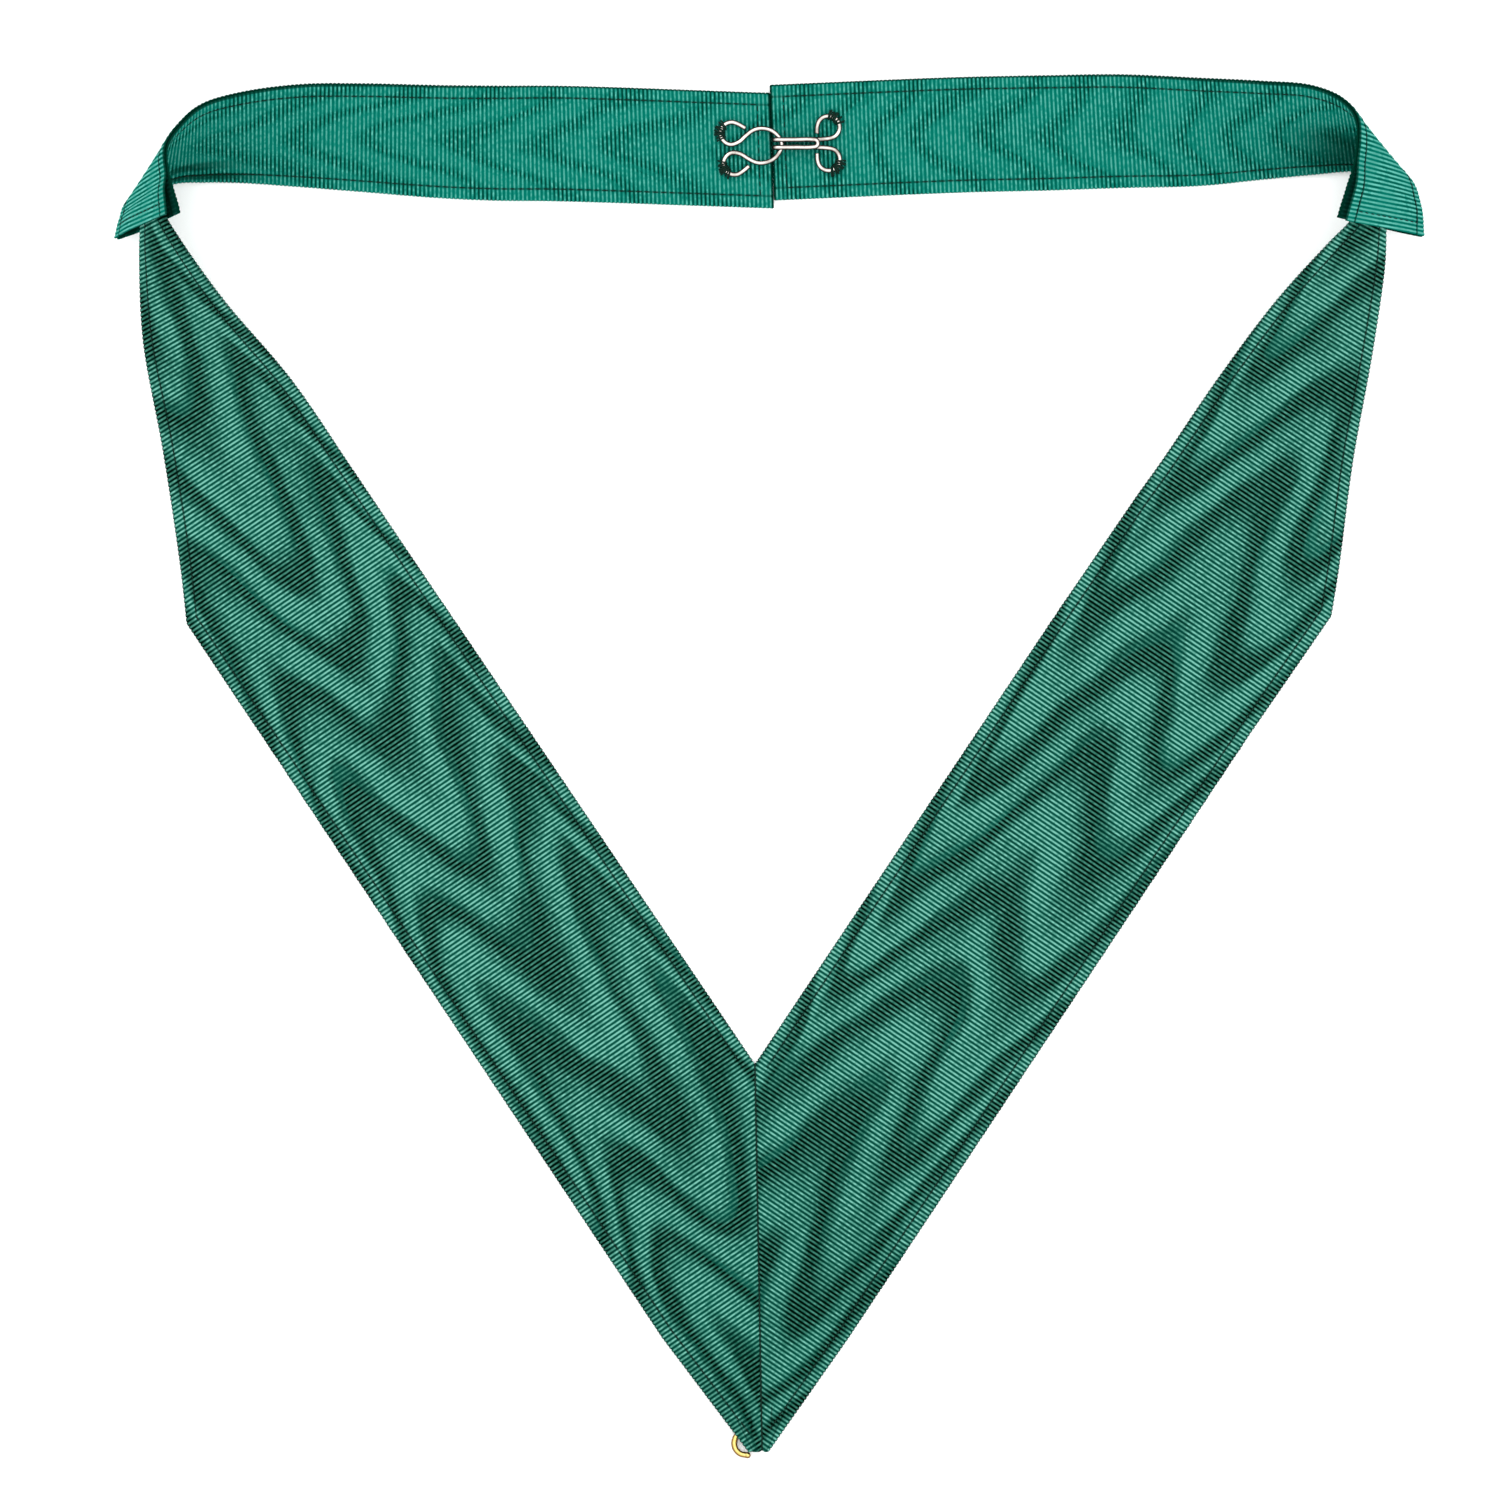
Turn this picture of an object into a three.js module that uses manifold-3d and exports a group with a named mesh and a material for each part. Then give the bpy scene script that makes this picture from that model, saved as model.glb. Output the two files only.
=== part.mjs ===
// Ceremonial ribbon collarette, lying open on a flat surface and seen from above.
// Millimetres. +Z is up from the surface, +Y runs towards the neckband, and the
// pointed front is at -Y. Left and right are as they are seen from above.
import * as THREE from 'three';
import { mergeVertices } from 'three/addons/utils/BufferGeometryUtils.js';
import Module from 'manifold-3d';

// Ribbon and cloth
const strapWidth = 76.2;
const strapThickness = 1.6;
const bandWidth = 38.6;
const layerThickness = 1.0;
const clearance = 0.3;

// Plan of the whole piece, with the origin in the middle of its box
const halfWidth = 220.4;
const neckLineY = 187.7;
const strapLength = 342.5;
const seamTop = { x: -4.2, y: -99.7 };
const seamBottom = { x: -1.8, y: -229.9 };
const seamGap = 0.3;
const seamRounding = { out: 0.2, up: 0.3 };

// How finely the cloth is cut into flat pieces
const bandStepsPerRow = 5;
const bandStepsAcross = 4;
const strapStepsPerRow = 4;
const strapStepsAcross = 5;

// Hook and eye of the neck closure, sewn flat on the neckband
const wireDiameter = 1.6;
const wireSides = 8;
const wireStepLength = 0.9;
const ringRadius = 3.75;
const closureAt = { x: 1.9, y: 209.2 };
const eyeReach = 2.9;
const eyeLength = 16.4;
const eyeLoopWidth = 11.6;
const eyeRingSpacing = 10.2;
const eyeTurnDegrees = 5.5;
const hookLength = 18.6;
const hookWireSpacing = 2.6;
const hookBillLength = 15.0;
const hookRingSpacing = 10.8;
const hookTurnDegrees = 0.5;
// Where the wire's free end lies, from the middle of its ring
const eyeRingEnd = { x: 4.75, y: 1.25 };
const hookRingEnd = { x: -3.9, y: -2.1 };
// Degrees, from the wire's free end onwards
const eyeRingArc = { from: 52, to: 262 };
const hookRingArc = { from: 175, to: -65 };
const hookBendDegrees = [270, 225, 180, 135, 90];
// Shares of hookLength and hookBillLength, and of half of hookWireSpacing
const hookShankShares = [0.8, 0.5, 0.25];
const hookBillShares = [0.5, 0.86];
const hookTipRounding = { back: 0.3, aside: 0.72 };
const ringStepDegrees = 30;

// Hook for the jewel, lying under the point
const jewelWireDiameter = 1.5;
const jewelHookRadius = 4.0;
const jewelRingRadius = 2.6;
const jewelKnobDiameter = 2.2;
const jewelAt = { x: -7.2, y: -227.0 };
const jewelRingOffset = { x: 8.2, y: 6.4 };
const jewelRingArc = { from: -60, to: 215 };
const jewelHookArc = { from: 62, to: 272 };
const jewelKnobOffset = 0.5;
const jewelKnobSides = { around: 12, down: 8 };
const pointClearance = 0.72;
const pointLift = jewelWireDiameter + pointClearance;

// Each half of the neckband, from the closure outwards. out is a share of
// halfWidth, up a share of bandWidth above neckLineY, and lift a share of bandWidth.
// The height of the upper edge follows from the true width of the ribbon.
const neckbandRows = {
  left: [
    { upperOut: -0.002, upperUp: 0.998, lowerOut: -0.008, lowerUp: -0.002, lowerLift: 0 },
    { upperOut: 0.316, upperUp: 1.059, lowerOut: 0.316, lowerUp: 0.059, lowerLift: 0 },
    { upperOut: 0.41, upperUp: 1.056, lowerOut: 0.41, lowerUp: 0.066, lowerLift: 0 },
    { upperOut: 0.5, upperUp: 1.057, lowerOut: 0.5, lowerUp: 0.091, lowerLift: 0 },
    { upperOut: 0.62, upperUp: 1.068, lowerOut: 0.62, lowerUp: 0.148, lowerLift: 0 },
    { upperOut: 0.712, upperUp: 1.057, lowerOut: 0.712, lowerUp: 0.192, lowerLift: 0 },
    { upperOut: 0.804, upperUp: 0.98, lowerOut: 0.804, lowerUp: 0.23, lowerLift: 0 },
    { upperOut: 0.857, upperUp: 0.885, lowerOut: 0.86, lowerUp: 0.235, lowerLift: 0 },
    { upperOut: 0.885, upperUp: 0.76, lowerOut: 0.905, lowerUp: 0.22, lowerLift: 0 },
    { upperOut: 0.913, upperUp: 0.53, lowerOut: 0.975, lowerUp: 0.03, lowerLift: 0 },
    { upperOut: 0.911, upperUp: 0.25, lowerOut: 0.985, lowerUp: -0.11, lowerLift: 0.05 },
    { upperOut: 0.906, upperUp: -0.06, lowerOut: 0.992, lowerUp: -0.27, lowerLift: 0.08 },
  ],
  right: [
    { upperOut: 0.005, upperUp: 1.068, lowerOut: 0.012, lowerUp: 0.068, lowerLift: 0 },
    { upperOut: 0.293, upperUp: 1.135, lowerOut: 0.293, lowerUp: 0.135, lowerLift: 0 },
    { upperOut: 0.43, upperUp: 1.148, lowerOut: 0.43, lowerUp: 0.155, lowerLift: 0 },
    { upperOut: 0.537, upperUp: 1.152, lowerOut: 0.537, lowerUp: 0.178, lowerLift: 0 },
    { upperOut: 0.66, upperUp: 1.115, lowerOut: 0.66, lowerUp: 0.2, lowerLift: 0 },
    { upperOut: 0.75, upperUp: 1.085, lowerOut: 0.75, lowerUp: 0.255, lowerLift: 0 },
    { upperOut: 0.826, upperUp: 1.045, lowerOut: 0.83, lowerUp: 0.3, lowerLift: 0 },
    { upperOut: 0.874, upperUp: 0.925, lowerOut: 0.9, lowerUp: 0.33, lowerLift: 0 },
    { upperOut: 0.895, upperUp: 0.77, lowerOut: 0.975, lowerUp: 0.25, lowerLift: 0 },
    { upperOut: 0.893, upperUp: 0.35, lowerOut: 0.993, lowerUp: 0.02, lowerLift: 0.04 },
    { upperOut: 0.873, upperUp: -0.11, lowerOut: 0.998, lowerUp: -0.25, lowerLift: 0.08 },
  ],
};

// Each strap below the mouth of the neckband's end, from the shoulder down to the
// seam. along is a share of strapLength up from the seam, bow and reach are shares
// of strapWidth out from the straight inner edge, and lift is a share of bandWidth.
const strapHeadingDegrees = { left: 124.2, right: 56.2 };
const strapRows = {
  left: [
    { along: 0.982, bow: 0.052, innerLift: 0.89, outerAlong: 0.99, reach: 0.247, outerLift: 0.44 },
    { along: 0.91, bow: 0.043, innerLift: 0.66, outerAlong: 0.923, reach: 0.436, outerLift: 0.2 },
    { along: 0.809, bow: -0.006, innerLift: 0.35, outerAlong: 0.822, reach: 0.64, outerLift: 0.035 },
    { along: 0.712, bow: -0.007, innerLift: 0.11, outerAlong: 0.722, reach: 0.857, outerLift: 0.005 },
    { along: 0.66, bow: -0.006, innerLift: 0.035, outerAlong: 0.67, reach: 0.98, outerLift: 0 },
    { along: 0.55, bow: -0.004, innerLift: 0, outerAlong: 0.55, reach: 0.985, outerLift: 0 },
    { along: 0.05, bow: 0, innerLift: 0, outerAlong: -0.17, reach: 1.016, outerLift: 0 },
  ],
  right: [
    { along: 0.981, bow: 0.088, innerLift: 0.66, outerAlong: 0.994, reach: 0.344, outerLift: 0.31 },
    { along: 0.905, bow: 0.037, innerLift: 0.49, outerAlong: 0.917, reach: 0.513, outerLift: 0.14 },
    { along: 0.808, bow: 0.014, innerLift: 0.25, outerAlong: 0.817, reach: 0.711, outerLift: 0.025 },
    { along: 0.712, bow: 0.011, innerLift: 0.08, outerAlong: 0.721, reach: 0.925, outerLift: 0.004 },
    { along: 0.67, bow: 0.005, innerLift: 0.025, outerAlong: 0.679, reach: 1.012, outerLift: 0 },
    { along: 0.55, bow: 0, innerLift: 0, outerAlong: 0.55, reach: 1.004, outerLift: 0 },
    { along: 0.05, bow: 0, innerLift: 0, outerAlong: -0.17, reach: 1.014, outerLift: 0 },
  ],
};
// From this row of the table on, the edges are straight lines with corners between
const firstStraightRow = 4;

// Half of the eye's loop, from its ring to its closed end. along is a share of
// eyeLength, aside of half of eyeLoopWidth, and rise of the way up to the hook's gap.
const eyeLoopRows = [
  { along: 0.14, aside: 0.36, rise: 0 },
  { along: 0.28, aside: 0.66, rise: 0 },
  { along: 0.44, aside: 0.93, rise: 0 },
  { along: 0.6, aside: 1.0, rise: 0.2 },
  { along: 0.8, aside: 0.84, rise: 0.75 },
  { along: 0.93, aside: 0.5, rise: 1 },
  { along: 1.0, aside: 0, rise: 1 },
];

// The cloth's straight cuts across the neckband run aslant near its end. Degrees,
// from the end backwards.
const endSlants = [0, 12, 22, 10];

// Width of the straps' bottom edge beside the seam
const bluntTipWidth = { left: 4.5, right: 2.0 };

// The mouth that holds the strap's end, in rows of the neckband counted from its end
const pocketSteps = 4;
const strapEndRows = 0.64;
const strapEndSteps = 5;
const pocketClearance = 0.4;
const strapInPocket = { outer: 0.46, inner: 1.015 };
const mouthSpread = { left: 1.6, right: 0.6 };
// Rows over which the layers part, and how far before the mouth that starts
const mouthSwell = { before: 0.4, length: 0.6 };

const mergeDistance = 1e-4;

const finishes = {
  green: { color: 0x2e8f79, metalness: 0, roughness: 0.75 },
  nickel: { color: 0xb9bbb8, metalness: 0.9, roughness: 0.3 },
  gilt: { color: 0xc79a3e, metalness: 0.9, roughness: 0.35 },
};

function vec(x, y, z) {
  return new THREE.Vector3(x, y, z);
}

function sideSign(side) {
  return side === 'left' ? -1 : 1;
}

// A smooth line through the points, broken where a point is a corner, that never
// dips below restingHeight. It takes t in rows, so that 2.5 is halfway from point 2
// to point 3.
function edgeLine(points, corners, restingHeight) {
  const breaks = [0, ...corners, points.length - 1];
  const runs = [];
  for (let i = 0; i + 1 < breaks.length; i += 1) {
    const from = breaks[i];
    const to = breaks[i + 1];
    if (to <= from) continue;
    const curve = new THREE.CatmullRomCurve3(points.slice(from, to + 1), false, 'centripetal');
    runs.push({ from, to, curve });
  }
  return (t) => {
    const run = runs.find((r) => t <= r.to) ?? runs[runs.length - 1];
    const p = run.curve.getPoint((t - run.from) / (run.to - run.from));
    return p.setZ(Math.max(p.z, restingHeight));
  };
}

// The cloth's middle surface between its two edges, with v from 0 on the lower or
// outer edge to 1 on the upper or inner edge.
function ribbonSurface(lower, upper, last, turned) {
  const nudge = 0.01;
  const point = (t, v) => lower(t).lerp(upper(t), v);
  const normal = (t, v) => {
    const along = point(Math.min(t + nudge, last), v).sub(point(Math.max(t - nudge, 0), v));
    const across = upper(t).sub(lower(t));
    return across.cross(along).normalize().multiplyScalar(turned);
  };
  return { point, normal };
}

// The outline of the cloth in length and thickness, as { t, w }: a place along the
// ribbon and an offset from its middle surface. From place number mouth onwards the
// cloth is two layers with an opening between them. slices cuts the outline into
// small pieces, from which the two long edges of the ribbon are made.
function clothOutline(places, outside, mouth = places.length, opening = () => 0) {
  const last = places.length - 1;
  const layered = places.slice(mouth);
  const points = [
    ...places.map((t) => ({ t, w: -outside(t) })),
    ...layered.toReversed().map((t) => ({ t, w: -opening(t) })),
    ...layered.map((t) => ({ t, w: opening(t) })),
    ...places.toReversed().map((t) => ({ t, w: outside(t) })),
  ];
  const back = (k) => k;
  const front = (k) => points.length - 1 - k;
  const backInside = (k) => last + 1 + last - k;
  const frontInside = (k) => last + 1 + layered.length + k - mouth;
  const slices = [];
  for (let k = 0; k < last; k += 1) {
    if (k >= mouth) {
      slices.push([back(k), back(k + 1), backInside(k + 1), backInside(k)]);
      slices.push([frontInside(k), frontInside(k + 1), front(k + 1), front(k)]);
    } else if (k + 1 === mouth) {
      slices.push([back(k), back(mouth), backInside(mouth), frontInside(mouth), front(mouth), front(k)]);
    } else {
      slices.push([back(k), back(k + 1), front(k + 1), front(k)]);
    }
  }
  return { points, slices };
}

// A solid with that outline carried across the ribbon, from edge to edge.
function clothSolid(surface, { points, slices }, steps, spread = () => 0) {
  const positions = [];
  for (let j = 0; j <= steps; j += 1) {
    const v = j / steps;
    for (const { t, w } of points) {
      const offset = w + Math.sign(w) * spread(t, w) * v;
      const p = surface.point(t, v).addScaledVector(surface.normal(t, v), offset);
      positions.push(p.x, p.y, p.z);
    }
  }
  const count = points.length;
  const farEdge = steps * count;
  const index = [];
  for (const slice of slices) {
    for (let i = 2; i < slice.length; i += 1) {
      const [a, b, c] = [slice[0], slice[i - 1], slice[i]];
      index.push(a, c, b);
      index.push(farEdge + a, farEdge + b, farEdge + c);
    }
  }
  for (let j = 0; j < steps; j += 1) {
    for (let i = 0; i < count; i += 1) {
      const a = j * count + i;
      const b = j * count + ((i + 1) % count);
      index.push(a, b, b + count, a, b + count, a + count);
    }
  }
  return closedGeometry(positions, index);
}

// Turns the faces outward and drops the ones with no area.
function closedGeometry(positions, index) {
  const raw = new THREE.BufferGeometry();
  raw.setAttribute('position', new THREE.Float32BufferAttribute(positions, 3));
  raw.setIndex(index);
  const merged = mergeVertices(raw, mergeDistance);
  const place = merged.attributes.position;
  const faces = [];
  let volume = 0;
  for (let i = 0; i < merged.index.count; i += 3) {
    const ids = [0, 1, 2].map((k) => merged.index.getX(i + k));
    if (new Set(ids).size < 3) continue;
    faces.push(ids);
    const [a, b, c] = ids.map((k) => vec(place.getX(k), place.getY(k), place.getZ(k)));
    volume += a.dot(b.cross(c)) / 6;
  }
  merged.setIndex(faces.flatMap(([a, b, c]) => (volume < 0 ? [a, c, b] : [a, b, c])));
  merged.computeVertexNormals();
  return merged;
}

function named(name, geometry, finish) {
  const material = new THREE.MeshStandardMaterial(finish);
  material.name = name;
  const mesh = new THREE.Mesh(geometry, material);
  mesh.name = name;
  return mesh;
}

function neckbandSurface(side) {
  const rows = neckbandRows[side];
  const s = sideSign(side);
  const lowerPoints = [];
  const upperPoints = [];
  for (const row of rows) {
    const low = vec(
      s * row.lowerOut * halfWidth,
      neckLineY + row.lowerUp * bandWidth,
      layerThickness + row.lowerLift * bandWidth,
    );
    const high = vec(s * row.upperOut * halfWidth, neckLineY + row.upperUp * bandWidth, low.z);
    const slant = slantLength(rows, row);
    const plan = Math.hypot(high.x - low.x, high.y - low.y);
    high.z += Math.sqrt(Math.max(slant * slant - plan * plan, 0));
    lowerPoints.push(low);
    upperPoints.push(high);
  }
  const lower = edgeLine(lowerPoints, [], layerThickness);
  const upper = edgeLine(upperPoints, [], layerThickness);
  return ribbonSurface(lower, upper, rows.length - 1, s);
}

// Around the fold the straight lines of the cloth run aslant, so they are longer
// than the ribbon is wide.
function slantLength(rows, row) {
  const fromEnd = rows.length - 1 - rows.indexOf(row);
  return bandWidth / Math.cos(THREE.MathUtils.degToRad(endSlants[fromEnd] ?? 0));
}

// One half of the neckband. Its two layers part near the end, so that they take the
// strap's end between them.
function neckband(side) {
  const last = neckbandRows[side].length - 1;
  const steps = last * bandStepsPerRow;
  const mouth = steps - pocketSteps;
  const mouthAt = mouth / bandStepsPerRow;
  const opening = strapThickness / 2 + pocketClearance;
  const swell = (t) => ease((t - mouthAt + mouthSwell.before) / mouthSwell.length);
  const outside = (t) => layerThickness + opening * swell(t);
  const places = Array.from({ length: steps + 1 }, (_, i) => i / bandStepsPerRow);
  const outline = clothOutline(places, outside, mouth, () => opening);
  const spread = (t, w) => (w < 0 ? mouthSpread[side] * ease((t - mouthAt) / (last - mouthAt)) : 0);
  const geometry = clothSolid(neckbandSurface(side), outline, bandStepsAcross, spread);
  return named(`${side}_neckband`, geometry, finishes.green);
}

function ease(x) {
  const c = Math.min(Math.max(x, 0), 1);
  return c * c * (3 - 2 * c);
}

// A point of a strap in the plan, from its place along and out from the inner edge.
function strapPoint(side, along, out, lift) {
  const heading = THREE.MathUtils.degToRad(strapHeadingDegrees[side]);
  const up = vec(Math.cos(heading), Math.sin(heading), 0);
  const outward = vec(up.y, -up.x, 0).multiplyScalar(sideSign(side));
  return vec(seamTop.x, seamTop.y, strapThickness / 2 + lift)
    .addScaledVector(up, along * strapLength)
    .addScaledVector(outward, out * strapWidth);
}

function strap(side) {
  const s = sideSign(side);
  const band = neckbandSurface(side);
  const last = neckbandRows[side].length - 1;
  const inner = [];
  const outer = [];
  const corners = [];
  for (let i = strapEndSteps; i >= 0; i -= 1) {
    const t = last - (strapEndRows * i) / strapEndSteps;
    outer.push(band.point(t, strapInPocket.outer));
    inner.push(band.point(t, strapInPocket.inner));
  }
  for (const [i, row] of strapRows[side].entries()) {
    if (i >= firstStraightRow) corners.push(inner.length);
    inner.push(strapPoint(side, row.along, row.bow, row.innerLift * bandWidth));
    outer.push(strapPoint(side, row.outerAlong, row.reach, row.outerLift * bandWidth));
  }
  const z = strapThickness / 2;
  const half = seamGap / 2;
  corners.push(inner.length);
  inner.push(vec(seamTop.x + s * (half + seamRounding.out), seamTop.y + seamRounding.up, z));
  outer.push(vec(seamBottom.x + s * (half + bluntTipWidth[side]), seamBottom.y, z + pointLift));
  inner.push(vec(seamTop.x + s * half, seamTop.y, z));
  outer.push(vec(seamBottom.x + s * half, seamBottom.y, z + pointLift));

  const outerEdge = edgeLine(outer, corners, z);
  const innerEdge = edgeLine(inner, corners, z);
  const surface = ribbonSurface(outerEdge, innerEdge, inner.length - 1, s);
  const smoothRows = corners[0];
  const places = [];
  for (let i = 0; i < smoothRows * strapStepsPerRow; i += 1) places.push(i / strapStepsPerRow);
  for (let i = smoothRows; i < inner.length; i += 1) places.push(i);
  const geometry = clothSolid(surface, clothOutline(places, () => z), strapStepsAcross);
  return named(`${side}_strap`, geometry, finishes.green);
}

// A round wire along a smooth line through the points, with flat ends.
function wire(points, diameter) {
  const path = new THREE.CatmullRomCurve3(points, false, 'centripetal');
  const circle = new THREE.Shape();
  for (let i = 0; i < wireSides; i += 1) {
    const a = (2 * Math.PI * (i + 0.5)) / wireSides;
    const x = (Math.cos(a) * diameter) / 2;
    const y = (Math.sin(a) * diameter) / 2;
    if (i === 0) circle.moveTo(x, y);
    else circle.lineTo(x, y);
  }
  const steps = Math.ceil(path.getLength() / wireStepLength);
  return welded(new THREE.ExtrudeGeometry(circle, { steps, extrudePath: path }));
}

// A ready-made closed shape as one of ours, with its corners joined.
function welded(shape) {
  shape.deleteAttribute('normal');
  shape.deleteAttribute('uv');
  const merged = mergeVertices(shape, mergeDistance);
  return closedGeometry(Array.from(merged.attributes.position.array), Array.from(merged.index.array));
}

// The points of a ring in the plan, between two angles in degrees.
function ring(x, y, radius, { from, to }, z) {
  const steps = Math.ceil(Math.abs(to - from) / ringStepDegrees);
  const points = [];
  for (let i = 0; i <= steps; i += 1) {
    const a = THREE.MathUtils.degToRad(from + ((to - from) * i) / steps);
    points.push(vec(x + radius * Math.cos(a), y + radius * Math.sin(a), z));
  }
  return points;
}

// Follows one half of a fitting and then its mirror image, back to the other ring.
function bothHalves(half, shared = 0) {
  const mirrored = half.slice(0, half.length - shared).toReversed();
  return [...half, ...mirrored.map((p) => vec(p.x, -p.y, p.z))];
}

function placed(points, degrees, x, y) {
  const turn = new THREE.Matrix4().makeRotationZ(THREE.MathUtils.degToRad(degrees));
  return points.map((p) => p.clone().applyMatrix4(turn).add(vec(x, y, 0)));
}

const wireOnBand = 2 * layerThickness + clearance + wireDiameter / 2;
const wireRise = wireDiameter + clearance;

// The eye on the left half: two sewing rings joined by a loop, whose closed end
// passes through the hook.
function neckEye() {
  const at = { x: -eyeLength, y: eyeRingSpacing / 2 };
  const half = [
    vec(at.x + eyeRingEnd.x, at.y + eyeRingEnd.y, wireOnBand),
    ...ring(at.x, at.y, ringRadius, eyeRingArc, wireOnBand),
  ];
  for (const { along, aside, rise } of eyeLoopRows) {
    half.push(vec((along - 1) * eyeLength, (aside * eyeLoopWidth) / 2, wireOnBand + rise * wireRise));
  }
  const points = placed(bothHalves(half, 1), eyeTurnDegrees, closureAt.x + eyeReach, closureAt.y);
  return named('neck_eye', wire(points, wireDiameter), finishes.nickel);
}

// The hook on the right half: a doubled wire bent back over itself, with two
// sewing rings at the ends of the wire.
function neckHook() {
  const y = hookWireSpacing / 2;
  const at = { x: hookLength, y: hookRingSpacing / 2 };
  const half = [
    vec(at.x + hookRingEnd.x, at.y + hookRingEnd.y, wireOnBand),
    ...ring(at.x, at.y, ringRadius, hookRingArc, wireOnBand),
  ];
  for (const share of hookShankShares) half.push(vec(hookLength * share, y, wireOnBand));
  for (const degrees of hookBendDegrees) {
    const a = THREE.MathUtils.degToRad(degrees);
    const x = wireRise * (1 + Math.cos(a));
    half.push(vec(x, y, wireOnBand + wireRise * (1 + Math.sin(a))));
  }
  const top = wireOnBand + 2 * wireRise;
  for (const share of hookBillShares) half.push(vec(hookBillLength * share, y, top));
  half.push(vec(hookBillLength - hookTipRounding.back * y, hookTipRounding.aside * y, top));
  half.push(vec(hookBillLength, 0, top));
  const points = placed(bothHalves(half, 1), hookTurnDegrees, closureAt.x, closureAt.y);
  return named('neck_hook', wire(points, wireDiameter), finishes.nickel);
}

// The hook for the jewel: a sewing ring behind the seam, then an open bend that
// reaches past the edge of the cloth and ends in a knob.
function jewelHook() {
  const z = jewelWireDiameter / 2;
  const points = [
    ...ring(jewelRingOffset.x, jewelRingOffset.y, jewelRingRadius, jewelRingArc, z),
    ...ring(0, 0, jewelHookRadius, jewelHookArc, z),
  ];
  const shank = solidFrom(wire(placed(points, 0, jewelAt.x, jewelAt.y), jewelWireDiameter));
  const { around, down } = jewelKnobSides;
  const ball = new THREE.SphereGeometry(jewelKnobDiameter / 2, around, down);
  ball.translate(jewelAt.x + jewelKnobOffset, jewelAt.y - jewelHookRadius, jewelKnobDiameter / 2);
  const mesh = shank.add(solidFrom(welded(ball))).getMesh();
  const geometry = closedGeometry(Array.from(mesh.vertProperties), Array.from(mesh.triVerts));
  return named('jewel_hook', geometry, finishes.gilt);
}

const solids = await Module();
solids.setup();

function solidFrom(geometry) {
  return new solids.Manifold(new solids.Mesh({
    numProp: 3,
    vertProperties: new Float32Array(geometry.attributes.position.array),
    triVerts: new Uint32Array(geometry.index.array),
  }));
}

const collarette = new THREE.Group();
collarette.name = 'masonic_collarette';
for (const side of ['left', 'right']) {
  collarette.add(strap(side));
  collarette.add(neckband(side));
}
collarette.add(neckEye());
collarette.add(neckHook());
collarette.add(jewelHook());

const box = new THREE.Box3().setFromObject(collarette);
const middle = box.getCenter(new THREE.Vector3());
collarette.position.set(-middle.x, -middle.y, -box.min.z);
export default collarette;
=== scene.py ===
# A ribbon collarette lying open on a pale floor, seen from straight above.
# Each ribbon is worked out flat, with u along it and v across it, and then laid over
# its folded surface, so that ribs and stitches follow the cloth. Tables and lengths
# are in millimetres, and what goes to Blender is in metres.
import math
import random

import bmesh
import bpy
from mathutils import Matrix, Vector


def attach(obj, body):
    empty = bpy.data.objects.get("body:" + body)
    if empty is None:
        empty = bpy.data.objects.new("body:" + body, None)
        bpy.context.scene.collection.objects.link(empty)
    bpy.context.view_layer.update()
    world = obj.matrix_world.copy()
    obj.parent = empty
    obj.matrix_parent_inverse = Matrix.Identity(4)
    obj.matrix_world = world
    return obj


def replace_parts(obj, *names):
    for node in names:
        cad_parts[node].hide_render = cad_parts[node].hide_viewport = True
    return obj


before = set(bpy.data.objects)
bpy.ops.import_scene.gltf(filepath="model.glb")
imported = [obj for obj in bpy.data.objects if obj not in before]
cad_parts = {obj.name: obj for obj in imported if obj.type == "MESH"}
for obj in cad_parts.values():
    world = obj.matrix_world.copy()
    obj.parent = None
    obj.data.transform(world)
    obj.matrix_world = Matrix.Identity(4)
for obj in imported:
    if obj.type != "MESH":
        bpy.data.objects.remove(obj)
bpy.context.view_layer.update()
random.seed(7)

plan = {
    "shift": (-0.49, -0.15),      # from the drawing's origin to the frame's
    "halfWidth": 220.4,
    "neckLine": 187.7,
    "strapLength": 342.5,
    "seamTop": (-4.2, -99.7),
    "seamBottom": (-1.8, -229.9),
    "pointLift": 2.2,
}


def inFrame(p):
    # a place of the drawing as a place of the frame
    return Vector(((p[0] + plan["shift"][0]) / 1000, (p[1] + plan["shift"][1]) / 1000, p[2] / 1000))


def ease(x):
    x = min(max(x, 0), 1)
    return x * x * (3 - 2 * x)


def mix(a, b, share):
    return a + (b - a) * share


# Smooth lines through a few points

def alongCurve(points, t):
    # centripetal curve, t counted in points
    k = min(int(t), len(points) - 2)
    w = t - k
    p1, p2 = points[k], points[k + 1]
    p0 = points[k - 1] if k > 0 else 2 * points[0] - points[1]
    p3 = points[k + 2] if k + 2 < len(points) else 2 * points[-1] - points[-2]
    d1 = math.sqrt((p2 - p1).length) or 1
    d0 = math.sqrt((p1 - p0).length) or d1
    d2 = math.sqrt((p3 - p2).length) or d1
    m1 = ((p1 - p0) / d0 - (p2 - p0) / (d0 + d1) + (p2 - p1) / d1) * d1
    m2 = ((p2 - p1) / d1 - (p3 - p1) / (d1 + d2) + (p3 - p2) / d2) * d1
    return p1 + w * (m1 + w * ((3 * (p2 - p1) - 2 * m1 - m2) + w * (2 * (p1 - p2) + m1 + m2)))


def smoothLine(points, corners, resting):
    # broken where a point is a corner, and never lower than the resting height
    ends = [0, *corners, len(points) - 1]
    runs = [(a, b) for a, b in zip(ends, ends[1:]) if b > a]

    def at(t):
        first, last = next((r for r in runs if t <= r[1]), runs[-1])
        p = alongCurve(points[first:last + 1], t - first)
        p.z = max(p.z, resting)
        return p

    return at


# A ribbon, flat and folded

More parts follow.
